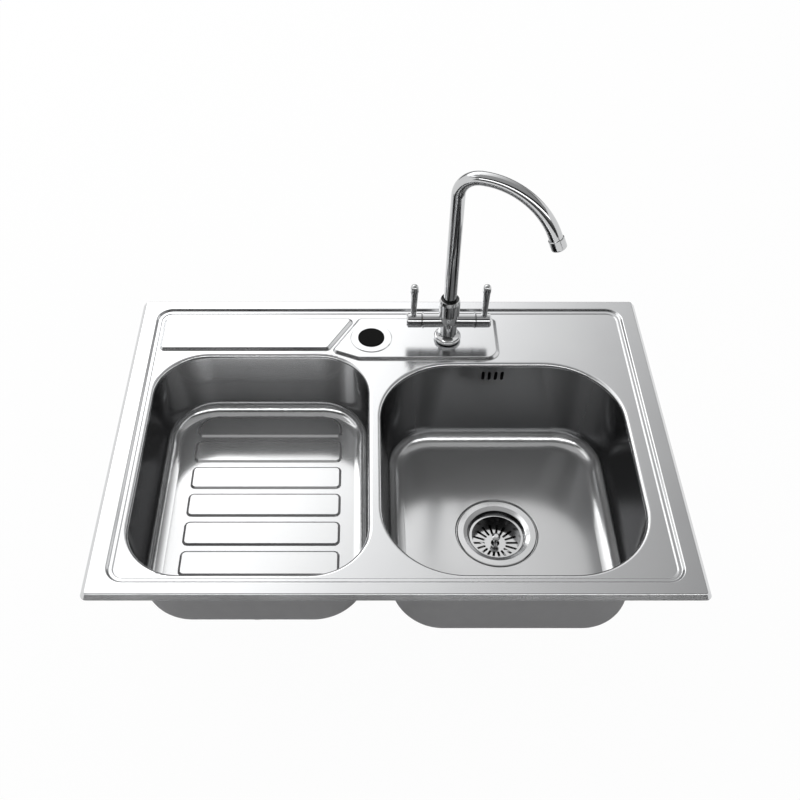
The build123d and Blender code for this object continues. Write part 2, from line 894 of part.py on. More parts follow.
# Overflow: a box behind the slots, held by two welded studs, with a pipe down to the waste body
overflow_height = overflow_slot_height + 2 * overflow_margin
stud_pitch = overflow_width + overflow_ear
stud_hole = stud_radius + stud_gap
box_plane = overflow_plane.offset(overflow_gasket_thickness)
spigot_y = wall_y + overflow_gasket_thickness + pipe_bore + pipe_wall + pipe_clear
spigot_top = overflow_z - overflow_height / 2
with BuildPart() as overflow_gasket:
    with BuildSketch(overflow_plane):
        Rectangle(overflow_width, overflow_height)
        Rectangle(overflow_width - 2 * overflow_wall, overflow_height - 2 * overflow_wall, mode=Mode.SUBTRACT)
    extrude(amount=overflow_gasket_thickness)
save(overflow_gasket, "overflow_gasket")

with BuildPart() as overflow_housing:
    with BuildSketch(box_plane):
        Rectangle(overflow_width, overflow_height)
    extrude(amount=overflow_box)
    fillet(overflow_housing.edges().filter_by(Axis.X), overflow_wall)
    with BuildSketch(box_plane):
        SlotCenterToCenter(stud_pitch, overflow_ear)
    extrude(amount=overflow_wall)
    with BuildSketch(Plane(origin=(overflow_x, spigot_y, spigot_top + overflow_wall), z_dir=(0, 0, -1))):
        Circle(spigot_radius)
    extrude(amount=overflow_wall + spigot_length)
    with BuildSketch(box_plane):
        Rectangle(overflow_width - 2 * overflow_wall, overflow_height - 2 * overflow_wall)
    extrude(amount=overflow_box - overflow_wall, mode=Mode.SUBTRACT)
    with BuildSketch(Plane(origin=(overflow_x, spigot_y, overflow_z), z_dir=(0, 0, -1))):
        Circle(spigot_bore)
    extrude(amount=overflow_height / 2 + spigot_length, mode=Mode.SUBTRACT)
    with BuildSketch(box_plane):
        with GridLocations(stud_pitch, 0, 2, 1):
            Circle(stud_hole)
    extrude(amount=overflow_wall, mode=Mode.SUBTRACT)
save(overflow_housing, "overflow_housing")

with BuildPart() as overflow_studs:
    with BuildSketch(overflow_plane):
        with GridLocations(stud_pitch, 0, 2, 1):
            Circle(stud_radius)
    extrude(amount=stud_length)
save(overflow_studs, "overflow_studs")

with BuildPart() as overflow_nuts:
    with BuildSketch(box_plane.offset(overflow_wall)):
        with GridLocations(stud_pitch, 0, 2, 1):
            RegularPolygon(nut_flats / 2, 6, major_radius=False)
            Circle(stud_radius + thread_gap, mode=Mode.SUBTRACT)
    extrude(amount=nut_height)
save(overflow_nuts, "overflow_nuts")

pipe_top = spigot_top - overflow_wall
with BuildPart() as overflow_pipe:
    with BuildLine() as pipe_path:
        FilletPolyline(
            (overflow_x, spigot_y, pipe_top),
            (overflow_x, spigot_y, stub_z),
            (overflow_x, main_y + body_outer + pipe_clear, stub_z),
            radius=pipe_bend,
        )
    with BuildSketch(Plane(origin=(overflow_x, spigot_y, pipe_top), z_dir=(0, 0, -1))):
        Circle(pipe_bore + pipe_wall)
        Circle(pipe_bore, mode=Mode.SUBTRACT)
    sweep()
save(overflow_pipe, "overflow_pipe")

# Small outlet of the draining bowl
drain_section = upright_section(drain_x, drain_y)
drain_axis = Axis((drain_x, drain_y, 0), (0, 0, 1))
drain_floor = drainer_floor - drain_dish
drain_top = drain_floor + drain_gasket + drain_flange_sheet
drain_plate = drain_top - drain_flange_sheet
with BuildPart() as drainer_outlet_flange:
    add(
        turned(
            drain_section,
            drain_axis,
            [
                (drain_screw + thread_gap, drain_plate),
                (drain_neck - drain_flange_sheet, drain_plate),
                (drain_neck - drain_flange_sheet, drain_top - drain_neck_depth),
                (drain_neck, drain_top - drain_neck_depth),
                (drain_neck, drain_plate),
                (drain_flange, drain_plate),
                (drain_flange, drain_top - drain_flange_sheet / 2),
                (drain_flange - drain_flange_sheet, drain_top),
                (drain_screw + thread_gap, drain_top),
            ],
        )
    )
    with BuildSketch(Plane(origin=(drain_x, drain_y, drain_plate))):
        with PolarLocations(drain_slot_circle, drain_slot_count):
            Circle(drain_slot_radius)
    extrude(amount=drain_flange_sheet, mode=Mode.SUBTRACT)
save(drainer_outlet_flange, "drainer_outlet_flange")

with BuildPart() as drainer_outlet_gasket:
    add(ring(drain_x, drain_y, drain_floor, drain_plate, drain_hole, drain_flange - drain_flange_sheet))
save(drainer_outlet_gasket, "drainer_outlet_gasket")

drain_body_top = drain_floor - sheet
drain_body_bottom = drain_body_top - drain_body_height
drain_body_outer = drain_body_bore + drain_body_wall
drain_boss_top = drain_plate
drain_collar_end = drain_body_outer + drain_collar_length
drain_outlet_plane = Plane(
    origin=(drain_x, drain_y, drain_body_bottom + drain_outlet_rise),
    x_dir=(1, 0, 0),
    z_dir=(0, 1, 0),
)
with BuildPart() as drainer_outlet_body:
    add(
        turned(
            drain_section,
            drain_axis,
            [
                (drain_body_bore, drain_body_top),
                (drain_body_flange, drain_body_top),
                (drain_body_flange, drain_body_top - drain_body_wall),
                (drain_body_outer, drain_body_top - drain_body_wall),
                (drain_body_outer, drain_body_bottom),
                (0, drain_body_bottom),
                (0, drain_body_bottom + drain_body_wall),
                (drain_body_bore, drain_body_bottom + drain_body_wall),
            ],
        )
    )
    with BuildSketch(drain_outlet_plane):
        Circle(drain_collar_radius)
    extrude(amount=drain_collar_end)
    with BuildSketch(drain_outlet_plane.offset(drain_collar_end)):
        Circle(drain_outlet_radius)
    extrude(amount=drain_outlet_length)
    with BuildSketch(Plane(origin=(drain_x, drain_y, drain_body_bottom + drain_body_wall))):
        Circle(drain_body_bore)
    extrude(amount=drain_body_height - drain_body_wall, mode=Mode.SUBTRACT)
    with BuildSketch(drain_outlet_plane):
        Circle(drain_outlet_bore)
    extrude(amount=drain_collar_end + drain_outlet_length, mode=Mode.SUBTRACT)
    with BuildSketch(Plane(origin=(drain_x, drain_y, drain_body_bottom + drain_body_wall))):
        with PolarLocations(drain_body_bore / 2, rib_count):
            Rectangle(drain_body_bore, rib_width)
        Circle(drain_screw_head)
    extrude(amount=drain_body_wall)
    with BuildSketch(Plane(origin=(drain_x, drain_y, drain_body_bottom + drain_body_wall))):
        Circle(drain_screw_head)
    extrude(amount=drain_boss_top - drain_body_bottom - drain_body_wall)
    with BuildSketch(Plane(origin=(drain_x, drain_y, drain_body_bottom + drain_body_wall))):
        Circle(drain_screw + thread_gap)
    extrude(amount=drain_boss_top - drain_body_bottom - drain_body_wall, mode=Mode.SUBTRACT)
save(drainer_outlet_body, "drainer_outlet_body")

with BuildPart() as drainer_outlet_screw:
    add(
        turned(
            drain_section,
            drain_axis,
            [
                (0, drain_body_bottom + drain_body_wall),
                (drain_screw, drain_body_bottom + drain_body_wall),
                (drain_screw, drain_top),
                (drain_screw_head, drain_top),
                (drain_screw, drain_top + drain_screw_head_height),
                (0, drain_top + drain_screw_head_height),
            ],
        )
    )
save(drainer_outlet_screw, "drainer_outlet_screw")

# Tap: what holds it to the deck
tap_section = upright_section(tap_x, hole_y)
tap_axis = Axis((tap_x, hole_y, 0), (0, 0, 1))
tap_foot = pad_z + skirt_gasket
pad_under = pad_z - sheet
shank_hole = shank_radius + thread_gap
with BuildPart() as tap_skirt_gasket:
    add(ring(tap_x, hole_y, pad_z, tap_foot, shank_hole, skirt_base))
save(tap_skirt_gasket, "tap_skirt_gasket")

skirt_top = tap_foot + skirt_height
with BuildPart() as tap_skirt:
    with BuildSketch(tap_section):
        with BuildLine():
            Polyline(
                (neck_radius + thread_gap, skirt_top),
                (neck_radius + thread_gap, tap_foot + tap_foot_height + thread_gap),
                (tap_foot_radius + thread_gap, tap_foot + tap_foot_height + thread_gap),
                (tap_foot_radius + thread_gap, tap_foot),
                (skirt_base, tap_foot),
            )
            ThreePointArc(
                (skirt_base, tap_foot),
                (skirt_radius, tap_foot + skirt_edge),
                (skirt_base, tap_foot + 2 * skirt_edge),
            )
            RadiusArc(
                (skirt_base, tap_foot + 2 * skirt_edge),
                (skirt_top_radius, skirt_top),
                2 * skirt_height,
            )
            Line((skirt_top_radius, skirt_top), (neck_radius + thread_gap, skirt_top))
        make_face()
    revolve(axis=tap_axis)
save(tap_skirt, "tap_skirt")

rubber_low = pad_under - rubber_washer
steel_low = rubber_low - steel_washer
with BuildPart() as tap_rubber_washer:
    add(ring(tap_x, hole_y, rubber_low, pad_under, shank_hole, tap_washer_radius))
save(tap_rubber_washer, "tap_rubber_washer")

with BuildPart() as tap_steel_washer:
    add(ring(tap_x, hole_y, steel_low, rubber_low, shank_hole, tap_washer_radius))
save(tap_steel_washer, "tap_steel_washer")

with BuildPart() as tap_locknut:
    with BuildSketch(Plane(origin=(tap_x, hole_y, steel_low - locknut_height))):
        RegularPolygon(locknut_flats / 2, 6, major_radius=False)
        Circle(shank_hole, mode=Mode.SUBTRACT)
    extrude(amount=locknut_height)
save(tap_locknut, "tap_locknut")

shank_low = tap_foot - shank_length
with BuildPart() as tap_shank:
    with BuildSketch(Plane(origin=(tap_x, hole_y, shank_low))):
        Circle(shank_radius)
    extrude(amount=shank_length)
    with BuildSketch(Plane(origin=(tap_x, hole_y, shank_low))):
        with GridLocations(inlet_pitch, 0, 2, 1):
            Circle(inlet_radius)
    extrude(amount=inlet_depth, mode=Mode.SUBTRACT)
    with BuildSketch(Plane(origin=(tap_x, hole_y, shank_low))):
        with GridLocations(2 * passage_offset, 0, 2, 1):
            Circle(passage_radius)
    extrude(amount=shank_length, mode=Mode.SUBTRACT)
save(tap_shank, "tap_shank")

# Tap body: an upright neck and socket crossed by the bridge, with the water ways inside
bridge_z = pad_z + bridge_rise
bridge_section = Plane(origin=(tap_x, hole_y, bridge_z), x_dir=(1, 0, 0), z_dir=(0, -1, 0))
bridge_axis = Axis((tap_x, hole_y, bridge_z), (1, 0, 0))
across = Plane(origin=(tap_x - bridge_half, hole_y, bridge_z), x_dir=(0, 1, 0), z_dir=(1, 0, 0))
socket_top = bridge_z + socket_rise
socket_base = bridge_z + socket_floor
bush_low = socket_top - bush_recess - bush_height
ring_heights = [socket_base + o_ring_first, socket_base + o_ring_first + o_ring_spacing]
tube_bore = spout_radius + spout_clearance
with BuildPart() as tap_body:
    add(
        turned(
            tap_section,
            tap_axis,
            [
                (0, tap_foot),
                (tap_foot_radius, tap_foot),
                (tap_foot_radius, tap_foot + tap_foot_height),
                (neck_radius, tap_foot + tap_foot_height),
                (neck_radius, bridge_z),
                (socket_radius, bridge_z + socket_flare),
                (socket_radius, socket_top - socket_bevel),
                (socket_bore + socket_lip, socket_top),
                (0, socket_top),
            ],
        )
    )
    with BuildSketch(across):
        Circle(bridge_radius)
    extrude(amount=2 * bridge_half)
    with BuildSketch(across):
        Circle(bridge_bore)
    extrude(amount=2 * bridge_half, mode=Mode.SUBTRACT)
    with BuildSketch(Plane(origin=(tap_x, hole_y, tap_foot))):
        with GridLocations(2 * passage_offset, 0, 2, 1):
            Circle(passage_radius)
    extrude(amount=bridge_rise - skirt_gasket, mode=Mode.SUBTRACT)
    with BuildSketch(Plane(origin=(tap_x, hole_y, bridge_z))):
        Circle(mixing_radius)
    extrude(amount=socket_rise, mode=Mode.SUBTRACT)
    with BuildSketch(Plane(origin=(tap_x, hole_y, socket_base))):
        Circle(tube_bore)
    extrude(amount=socket_rise, mode=Mode.SUBTRACT)
    with BuildSketch(Plane(origin=(tap_x, hole_y, socket_top - socket_depth))):
        Circle(socket_bore)
    extrude(amount=socket_depth, mode=Mode.SUBTRACT)
    for height in ring_heights:
        with BuildSketch(Plane(origin=(tap_x, hole_y, height - o_ring_groove / 2))):
            Circle(tube_bore + o_ring_depth)
        extrude(amount=o_ring_groove, mode=Mode.SUBTRACT)
    with BuildSketch(Plane(origin=(tap_x, hole_y, bush_low + bush_height / 2), x_dir=(1, 0, 0), z_dir=(0, 1, 0))):
        Circle(bush_screw + thread_gap)
    extrude(amount=2 * socket_radius, mode=Mode.SUBTRACT)
save(tap_body, "tap_body")

# Hot side on the left, cold side on the right: a quarter-turn valve, its spindle, and a hub with a lever
disc_start = cartridge_start + cartridge_lip
moving_start = disc_start + disc_thickness + disc_gap
drive_start = moving_start + disc_thickness + disc_gap
collar_end = bridge_half + collar_width
hub_start = collar_end + hub_gap
hub_end = hub_start + hub_length
lever_x = hub_start + lever_offset
boss_top = bridge_z + hub_radius + lever_boss_height
stud_low = boss_top - lever_boss_height - lever_stud_depth
shaft_top = boss_top + lever_shaft
ring_top = shaft_top + lever_ring_height
dome_z = ring_top + lever_cap
cartridge_radius = bridge_bore - thread_gap
cartridge_chamber = passage_offset + passage_radius + cartridge_lip
spindle_hole = spindle_radius + spindle_clearance


def along_bridge(side, points):
    # a piece turned about the bridge, with points as distance from the middle and radius
    return turned(bridge_section, bridge_axis, [(side * distance, radius) for distance, radius in points])


def ceramic_disc(side, start, radius, port_y, port_z):
    with BuildPart() as disc:
        with BuildSketch(Plane(origin=(tap_x + side * start, hole_y, bridge_z), x_dir=(0, 1, 0), z_dir=(side, 0, 0))):
            Circle(radius)
        extrude(amount=disc_thickness)
        port = Plane(
            origin=(tap_x + side * start, hole_y + port_y, bridge_z + port_z), x_dir=(0, 1, 0), z_dir=(side, 0, 0)
        )
        with BuildSketch(port):
            Circle(disc_port)
        extrude(amount=disc_thickness, mode=Mode.SUBTRACT)
    return disc


for name, side in (("hot", -1), ("cold", 1)):
    with BuildPart() as cartridge:
        add(
            along_bridge(
                side,
                [
                    (cartridge_start, cartridge_bore - cartridge_lip),
                    (cartridge_start, cartridge_radius),
                    (bridge_half, cartridge_radius),
                    (bridge_half, collar_radius),
                    (collar_end, collar_radius),
                    (collar_end, spindle_hole),
                    (cartridge_chamber, spindle_hole),
                    (cartridge_chamber, cartridge_bore),
                    (disc_start, cartridge_bore),
                    (disc_start, cartridge_bore - cartridge_lip),
                ],
            )
        )
        port = Plane(
            origin=(tap_x + side * passage_offset, hole_y, bridge_z), x_dir=(-side, 0, 0), z_dir=(0, 0, -1)
        )
        with BuildSketch(port):
            Circle(passage_radius)
        extrude(amount=bridge_radius, mode=Mode.SUBTRACT)
    save(cartridge, f"{name}_cartridge")

    fixed_disc = ceramic_disc(side, disc_start, cartridge_bore - thread_gap, 0, disc_port_offset)
    save(fixed_disc, f"{name}_fixed_disc")
    moving_radius = cartridge_bore - cartridge_lip / 2
    moving_disc = ceramic_disc(side, moving_start, moving_radius, disc_port_offset, 0)
    save(moving_disc, f"{name}_moving_disc")

    with BuildPart() as spindle:
        add(
            along_bridge(
                side,
                [
                    (drive_start, 0),
                    (drive_start, spindle_drive),
                    (drive_start + spindle_drive_width, spindle_drive),
                    (drive_start + spindle_drive_width, spindle_radius),
                    (spindle_reach, spindle_radius),
                    (spindle_reach, 0),
                ],
            )
        )
    save(spindle, f"{name}_spindle")

    with BuildPart() as hub:
        add(
            along_bridge(
                side,
                [
                    (hub_start, 0),
                    (hub_start, hub_radius - hub_round / 2),
                    (hub_start + hub_round / 2, hub_radius),
                    (hub_end - hub_round, hub_radius),
                    (hub_end, hub_radius - hub_round),
                    (hub_end, 0),
                ],
            )
        )
        with BuildSketch(Plane(origin=(tap_x + side * lever_x, hole_y, bridge_z))):
            Circle(lever_boss)
        extrude(amount=hub_radius + lever_boss_height)
        add(
            along_bridge(
                side, [(hub_start, 0), (hub_start, spindle_hole), (spindle_reach, spindle_hole), (spindle_reach, 0)]
            ),
            mode=Mode.SUBTRACT,
        )
        with BuildSketch(Plane(origin=(tap_x + side * lever_x, hole_y, stud_low))):
            Circle(lever_stud + thread_gap)
        extrude(amount=boss_top - stud_low, mode=Mode.SUBTRACT)
        with BuildSketch(Plane(origin=(tap_x + side * lever_x, hole_y, bridge_z), z_dir=(0, 0, -1))):
            Circle(grub_radius + thread_gap)
        extrude(amount=hub_radius, mode=Mode.SUBTRACT)
    save(hub, f"{name}_hub")

    with BuildPart() as grub_screw:
        low = bridge_z - hub_radius + grub_recess
        with BuildSketch(Plane(origin=(tap_x + side * lever_x, hole_y, low))):
            Circle(grub_radius)
        extrude(amount=bridge_z - spindle_hole - low)
    save(grub_screw, f"{name}_grub_screw")

    with BuildPart() as lever:
        lever_axis = Axis((tap_x + side * lever_x, hole_y, 0), (0, 0, 1))
        with BuildSketch(upright_section(tap_x + side * lever_x, hole_y)):
            with BuildLine():
                Polyline(
                    (0, stud_low),
                    (lever_stud, stud_low),
                    (lever_stud, boss_top),
                    (lever_foot, boss_top),
                    (lever_tip, shaft_top),
                    (lever_ring, shaft_top),
                    (lever_ring, ring_top),
                    (lever_dome, ring_top),
                )
                Line((lever_dome, ring_top), (lever_dome, dome_z))
                CenterArc((0, dome_z), lever_dome, 0, 90)
                Line((0, dome_z + lever_dome), (0, stud_low))
            make_face()
        revolve(axis=lever_axis)
    save(lever, f"{name}_lever")

# Spout: a tube up from the socket, over an arch and down to the aerator
heading = math.radians(spout_heading)
spout_plane = Plane(
    origin=(tap_x, hole_y, 0),
    x_dir=(math.cos(heading), -math.sin(heading), 0),
    z_dir=(-math.sin(heading), -math.cos(heading), 0),
)
tube_low = socket_base + spout_end_gap
clip_low = bush_low - 2 * clip_ring_height
clip_inner = spout_radius - clip_ring_depth
with BuildPart() as spout_tube:
    with BuildLine(spout_plane) as spout_path:
        column = Line((0, tube_low), (0, column_top))
        shoulder = JernArc(column @ 1, column % 1, spout_bend, -spout_bend_turn)
        neck = JernArc(shoulder @ 1, shoulder % 1, spout_sweep, -spout_sweep_turn)
        Line(neck @ 1, neck @ 1 + (neck % 1) * spout_tail)
    with BuildSketch(Plane(origin=column @ 0, z_dir=column % 0)):
        Circle(spout_radius)
        Circle(spout_radius - spout_wall, mode=Mode.SUBTRACT)
    sweep()
    add(
        ring(
            tap_x,
            hole_y,
            clip_low - clip_ring_gap,
            clip_low + clip_ring_height + clip_ring_gap,
            clip_inner,
            spout_radius + clip_ring_depth,
        ),
        mode=Mode.SUBTRACT,
    )
save(spout_tube, "spout_tube")

with BuildPart() as spout_clip:
    add(ring(tap_x, hole_y, clip_low, clip_low + clip_ring_height, clip_inner + clip_ring_gap, clip_ring))
save(spout_clip, "spout_clip")

screw_plane = Plane(origin=(tap_x, hole_y, bush_low + bush_height / 2), x_dir=(1, 0, 0), z_dir=(0, 1, 0))
screw_start = socket_bore - bush_screw_inset + thread_gap
with BuildPart() as spout_bush:
    add(ring(tap_x, hole_y, bush_low, bush_low + bush_height, tube_bore, socket_bore - thread_gap))
    with BuildSketch(screw_plane):
        Circle(bush_screw + thread_gap)
    extrude(amount=socket_radius, mode=Mode.SUBTRACT)
save(spout_bush, "spout_bush")

with BuildPart() as spout_grub_screw:
    with BuildSketch(screw_plane.offset(screw_start + spout_clearance)):
        Circle(bush_screw)
    extrude(amount=socket_radius - screw_start - 2 * spout_clearance)
save(spout_grub_screw, "spout_grub_screw")

with BuildPart() as spout_o_rings:
    for height in ring_heights:
        with BuildSketch(tap_section):
            with Locations((tube_bore + o_ring_depth / 2, height)):
                Circle(o_ring_radius)
        revolve(axis=tap_axis)
save(spout_o_rings, "spout_o_rings")

# Aerator, screwed over the spout's end: local z is the way the water leaves
nozzle = Plane(
    origin=spout_path.line @ 1,
    x_dir=(math.sin(heading), math.cos(heading), 0),
    z_dir=spout_path.line % 1,
)
nozzle_axis = Axis(nozzle.origin, nozzle.z_dir)
nozzle_bore = spout_radius + thread_gap
nozzle_radius = spout_radius + aerator_wall
with BuildPart() as aerator_housing:
    with BuildSketch(nozzle.offset(-aerator_lap)):
        Circle(nozzle_radius)
    extrude(amount=aerator_lap + aerator_drop)
    fillet(aerator_housing.edges().sort_by(nozzle_axis)[-1], aerator_nose)
    fillet(aerator_housing.edges().sort_by(nozzle_axis)[0], aerator_round)
    with BuildSketch(nozzle.offset(-aerator_lap)):
        Circle(nozzle_bore)
    extrude(amount=aerator_lap + aerator_drop - aerator_lip, mode=Mode.SUBTRACT)
    with BuildSketch(nozzle):
        Circle(nozzle_bore - aerator_lip)
    extrude(amount=aerator_drop, mode=Mode.SUBTRACT)
save(aerator_housing, "aerator_housing")

with BuildPart() as aerator_washer:
    with BuildSketch(nozzle):
        Circle(spout_radius)
        Circle(spout_radius - spout_wall, mode=Mode.SUBTRACT)
    extrude(amount=aerator_washer_height)
save(aerator_washer, "aerator_washer")

with BuildPart() as aerator_insert:
    with BuildSketch(nozzle.offset(aerator_washer_height)):
        Circle(spout_radius)
        with PolarLocations(aerator_hole_circle, aerator_holes):
            Circle(aerator_hole, mode=Mode.SUBTRACT)
        Circle(aerator_hole, mode=Mode.SUBTRACT)
    extrude(amount=aerator_drop - aerator_lip - aerator_washer_height)
save(aerator_insert, "aerator_insert")
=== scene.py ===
import bmesh
import bpy
import json
import math
from mathutils import Matrix, Vector


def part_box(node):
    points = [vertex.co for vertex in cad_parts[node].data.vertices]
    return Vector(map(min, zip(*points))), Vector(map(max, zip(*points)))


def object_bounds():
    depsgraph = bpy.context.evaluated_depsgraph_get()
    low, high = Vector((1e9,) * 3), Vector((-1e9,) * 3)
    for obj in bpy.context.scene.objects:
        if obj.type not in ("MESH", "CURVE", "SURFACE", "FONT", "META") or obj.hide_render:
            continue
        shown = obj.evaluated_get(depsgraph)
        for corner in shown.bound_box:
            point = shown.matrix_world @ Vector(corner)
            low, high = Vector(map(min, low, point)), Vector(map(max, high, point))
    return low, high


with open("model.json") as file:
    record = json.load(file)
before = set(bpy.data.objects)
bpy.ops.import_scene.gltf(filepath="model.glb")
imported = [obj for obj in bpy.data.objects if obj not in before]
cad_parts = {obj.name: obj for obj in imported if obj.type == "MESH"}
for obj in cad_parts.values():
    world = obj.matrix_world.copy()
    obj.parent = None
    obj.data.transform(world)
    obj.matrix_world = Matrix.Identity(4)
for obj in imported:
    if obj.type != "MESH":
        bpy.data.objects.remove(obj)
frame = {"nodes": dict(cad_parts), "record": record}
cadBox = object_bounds()
scene = bpy.context.scene
scene.view_settings.view_transform = "Standard"
print("frame loaded with", len(frame["nodes"]), "nodes")

# Camera at the photographed angle
cameraSetup = {"lens": 46.14, "sensor": 36, "shiftX": 0.0432, "clipEnd": 50, "tilt": 43.25,
               "place": (-0.03464, -0.88661, 1.00375)}


def addCamera(setup):
    data = bpy.data.cameras.new("photoCamera")
    data.sensor_width = setup["sensor"]
    data.lens = setup["lens"]
    data.shift_x = setup["shiftX"]
    data.clip_end = setup["clipEnd"]
    camera = bpy.data.objects.new("photoCamera", data)
    camera.location = setup["place"]
    camera.rotation_euler = (math.radians(setup["tilt"]), 0, 0)
    scene.collection.objects.link(camera)
    scene.camera = camera


addCamera(cameraSetup)
print("camera placed")


# Node helpers for the finishes
cloudNoise = {"detail": 4, "span": (0.3, 0.7)}  # span: where most of the noise lies


def newMaterial(name):
    material = bpy.data.materials.new(name)
    material.use_nodes = True
    tree = material.node_tree
    return material, tree, tree.nodes["Principled BSDF"]


def addNode(tree, kind, **values):
    node = tree.nodes.new(kind)
    for key, value in values.items():
        setattr(node, key, value)
    return node


def objectNoise(tree, scale, detail):
    coords = addNode(tree, "ShaderNodeTexCoord")
    noise = addNode(tree, "ShaderNodeTexNoise")
    noise.inputs["Scale"].default_value = scale
    noise.inputs["Detail"].default_value = detail
    tree.links.new(coords.outputs["Object"], noise.inputs["Vector"])
    return noise.outputs["Fac"]


def remap(tree, value, low, high, fromLow=0, fromHigh=1):
    node = addNode(tree, "ShaderNodeMapRange")
    node.inputs["From Min"].default_value = fromLow
    node.inputs["From Max"].default_value = fromHigh
    node.inputs["To Min"].default_value = low
    node.inputs["To Max"].default_value = high
    tree.links.new(value, node.inputs["Value"])
    return node.outputs["Result"]


def mixColour(tree, factor, first, second):
    node = addNode(tree, "ShaderNodeMix", data_type="RGBA")
    node.inputs["A"].default_value = (*first, 1)
    node.inputs["B"].default_value = (*second, 1)
    tree.links.new(factor, node.inputs["Factor"])
    return node.outputs["Result"]


def addWave(tree, shader, wave):
    bump = addNode(tree, "ShaderNodeBump")
    bump.inputs["Strength"].default_value = wave["strength"]
    bump.inputs["Distance"].default_value = wave["distance"]
    tree.links.new(objectNoise(tree, wave["scale"], wave["detail"]), bump.inputs["Height"])
    tree.links.new(bump.outputs["Normal"], shader.inputs["Normal"])


def finishSockets(tree, finish):
    cloud = objectNoise(tree, finish["cloud"], cloudNoise["detail"])
    colour = mixColour(tree, cloud, finish["dark"], finish["light"])
    return colour, remap(tree, cloud, finish["roughLow"], finish["roughHigh"], *cloudNoise["span"])


def linkFinish(tree, shader, sockets):
    colour, gloss = sockets
    tree.links.new(colour, shader.inputs["Base Color"])
    tree.links.new(gloss, shader.inputs["Roughness"])


def blendFinishes(tree, factor, first, second):
    blended = []
    for kind, start, end in zip(("RGBA", "FLOAT"), first, second):
        node = addNode(tree, "ShaderNodeMix", data_type=kind)
        tree.links.new(factor, node.inputs["Factor"])
        tree.links.new(start, node.inputs["A"])
        tree.links.new(end, node.inputs["B"])
        blended.append(node.outputs["Result"])
    return blended


# Satin sheet of the deck: soft clouds in the tone and the gloss, and a faint waviness
deckFinish = {"dark": (0.60, 0.605, 0.615), "light": (0.66, 0.665, 0.67), "cloud": 9, "roughLow": 0.16,
              "roughHigh": 0.22}
sheetWave = {"scale": 14, "detail": 1, "strength": 0.04, "distance": 0.0004}


def makeSteel(name, finish, wave):
    material, tree, shader = newMaterial(name)
    shader.inputs["Metallic"].default_value = 1
    linkFinish(tree, shader, finishSockets(tree, finish))
    addWave(tree, shader, wave)
    return material


# Bowls: bright floors, and walls with painted shade that darkens them downwards and at the sides and
# lightens towards the brim, and a grey coat outside.
# metal is how far the sheet is metallic, and edge dims what it mirrors edge-on
bowlSteelsWithShade = {
    "main_bowl": {
        "floor": {"dark": (0.78, 0.785, 0.79), "light": (0.83, 0.835, 0.84), "cloud": 9, "roughLow": 0.16,
                  "roughHigh": 0.2},
        "side": {"dark": (0.05, 0.051, 0.053), "light": (0.065, 0.066, 0.068), "cloud": 9, "roughLow": 0.13,
                 "roughHigh": 0.17},
        "wall": {"dark": (0.13, 0.132, 0.136), "light": (0.16, 0.162, 0.166), "cloud": 9, "roughLow": 0.13,
                 "roughHigh": 0.17},
        "brim": {"dark": (0.23, 0.232, 0.236), "light": (0.27, 0.272, 0.276), "cloud": 9, "roughLow": 0.13,
                 "roughHigh": 0.17},
        "metal": 0.7, "edge": (0.3, 0.3, 0.305)},
    "drainer_bowl": {
        "floor": {"dark": (0.66, 0.665, 0.67), "light": (0.71, 0.715, 0.72), "cloud": 9, "roughLow": 0.1,
                  "roughHigh": 0.14},
        "side": {"dark": (0.10, 0.101, 0.103), "light": (0.13, 0.131, 0.133), "cloud": 9, "roughLow": 0.13,
                 "roughHigh": 0.17},
        "wall": {"dark": (0.20, 0.202, 0.206), "light": (0.24, 0.242, 0.246), "cloud": 9, "roughLow": 0.13,
                 "roughHigh": 0.17},
        "brim": {"dark": (0.58, 0.583, 0.588), "light": (0.64, 0.643, 0.648), "cloud": 9, "roughLow": 0.13,
                 "roughHigh": 0.17},
        "metal": 0.75, "edge": (0.3, 0.3, 0.305)},
}
cornerFall = 2  # even power: how fast the painted end-wall tone gives way to the darker painted side tone round a corner
bendTurn = {"steep": 0.12, "level": 0.5}  # upward part of the normal where wall turns to floor
coatFinish = {"dark": (0.27, 0.27, 0.275), "light": (0.32, 0.32, 0.325), "cloud": 60, "roughLow": 0.7,
              "roughHigh": 0.85}


def splitCoords(tree, kind):
    coords = addNode(tree, "ShaderNodeTexCoord")
    parts = addNode(tree, "ShaderNodeSeparateXYZ")
    tree.links.new(coords.outputs[kind], parts.inputs["Vector"])
    return coords, parts.outputs


